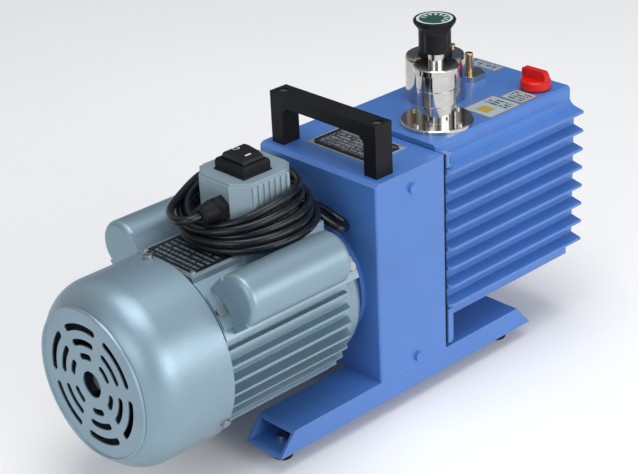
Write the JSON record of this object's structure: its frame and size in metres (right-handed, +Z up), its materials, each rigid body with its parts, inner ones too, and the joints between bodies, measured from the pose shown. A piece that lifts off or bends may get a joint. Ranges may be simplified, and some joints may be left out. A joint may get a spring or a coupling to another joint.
{
  "type": "rotary vane vacuum pump",
  "caption": "Direct-drive two-stage rotary vane vacuum pump: finned motor with fan cowl, square bracket with handle, finned oil tank with capped inlet, gas ballast valve and coiled mains lead.",
  "frame": {"origin": "centre of the overall box in X and Y, under the rubber feet in Z", "axes": "+X from the motor's fan cowl to the rear of the oil tank, +Z up, Y = 0 on the motor axis"},
  "size_m": [0.555, 0.1998, 0.33],
  "materials": {
    "blue_casting": "satin powder coat over a machined casting",
    "blue_steel": "satin powder coat",
    "silver_casting": "silver hammer paint, satin",
    "silver_steel": "silver hammer paint, satin",
    "grey_casting": "fine textured grey paint",
    "black_plastic": "fine moulded grain",
    "black_gloss": "polished",
    "black_rubber": "dull",
    "cord_jacket": "soft sheen",
    "chrome": "polished",
    "brass": "turned",
    "red_plastic": "polished",
    "zinc_steel": "zinc plated",
    "bare_aluminium": "brushed",
    "core_steel": "stacked laminations",
    "copper": "enamelled wire",
    "grey_iron": "ground",
    "vane_composite": "moulded composite",
    "label_vinyl": "printed film",
    "dial_disc": "printed disc",
    "sight_glass": "clear"
  },
  "bodies": {
    "housing": {"foot_rails": "blue_steel", "rubber_feet": "black_rubber", "feet_screws": "zinc_steel", "pump_bracket": "blue_casting", "handle": "black_plastic", "handle_screws": "zinc_steel", "bracket_nameplate": "bare_aluminium", "motor_nameplate": "bare_aluminium", "nameplate_rivets": "bare_aluminium", "fan_cowl": "silver_steel", "housing_screws": "zinc_steel", "motor_frame": "silver_casting", "rear_end_shield": "silver_casting", "front_end_shield": "silver_casting", "stator_core": "core_steel", "stator_windings": "copper", "motor_bearings": "zinc_steel", "capacitor_cover_near": "silver_steel", "capacitor_cover_far": "silver_steel", "capacitors": "bare_aluminium", "high_stage_stator": "grey_iron", "stage_plates": "grey_iron", "low_stage_stator": "grey_iron", "pump_bolts": "zinc_steel", "exhaust_reeds": "zinc_steel", "shaft_seal": "black_rubber", "oil_tank": "blue_casting", "tank_gasket": "black_rubber", "tank_labels": "label_vinyl", "inlet_nozzle": "chrome", "inlet_screws": "zinc_steel", "ballast_body": "chrome", "ballast_screws": "brass", "exhaust_union": "chrome", "exhaust_nozzle": "brass", "sight_glass_ring": "zinc_steel", "sight_glass": "sight_glass", "drain_plug": "zinc_steel", "switch_box": "grey_casting", "switch_lid": "grey_casting", "switch_bezel": "black_plastic", "cable_gland": "black_plastic", "cord_coil": "cord_jacket", "cord_lead": "cord_jacket", "cord_tail": "cord_jacket", "mains_plug": "black_plastic"},
    "rotor_train": {"motor_shaft": "zinc_steel", "motor_rotor": "core_steel", "cooling_fan": "black_plastic", "motor_coupling_half": "bare_aluminium", "coupling_spider": "black_rubber", "pump_coupling_half": "bare_aluminium", "pump_rotor": "grey_iron", "pump_vanes": "vane_composite"},
    "rocker": {"switch_rocker": "black_gloss"},
    "port_cap": {"inlet_cap": "black_rubber"},
    "knob": {"ballast_knob": "black_plastic", "ballast_dial": "dial_disc"},
    "thread_seal": {"filler_seal": "black_rubber"},
    "oil_cap": {"filler_plug": "red_plastic"}
  },
  "joints": [
    {"name": "rotor_spin", "type": "hinge", "parent": "housing", "child": "rotor_train", "pos_m": [0, 0, 0.12425], "axis": [1, 0, 0], "continuous": true},
    {"name": "rocker_tilt", "type": "hinge", "parent": "housing", "child": "rocker", "pos_m": [-0.0997, -0.003, 0.265], "axis": [1, 0, 0], "range_deg": [-16, 0]},
    {"name": "inlet_cap_pull", "type": "slide", "parent": "housing", "child": "port_cap", "axis": [0, 0, 1], "range_m": [0, 0.022]},
    {"name": "ballast_turn", "type": "hinge", "parent": "housing", "child": "knob", "pos_m": [0.1663, 0.019, 0.3], "axis": [0, 0, 1], "range_deg": [0, 180]},
    {"name": "filler_lift", "type": "slide", "parent": "housing", "child": "thread_seal", "axis": [0, 0, 1], "range_m": [0, 0.009]},
    {"name": "filler_turn", "type": "hinge", "parent": "thread_seal", "child": "oil_cap", "pos_m": [0.2436, -0.0404, 0.245], "axis": [0, 0, 1], "range_deg": [0, 1080]}
  ],
  "couplings": [
    {"joint": "filler_lift", "follows": "filler_turn", "m_per_rad": 0.00047746}
  ]
}
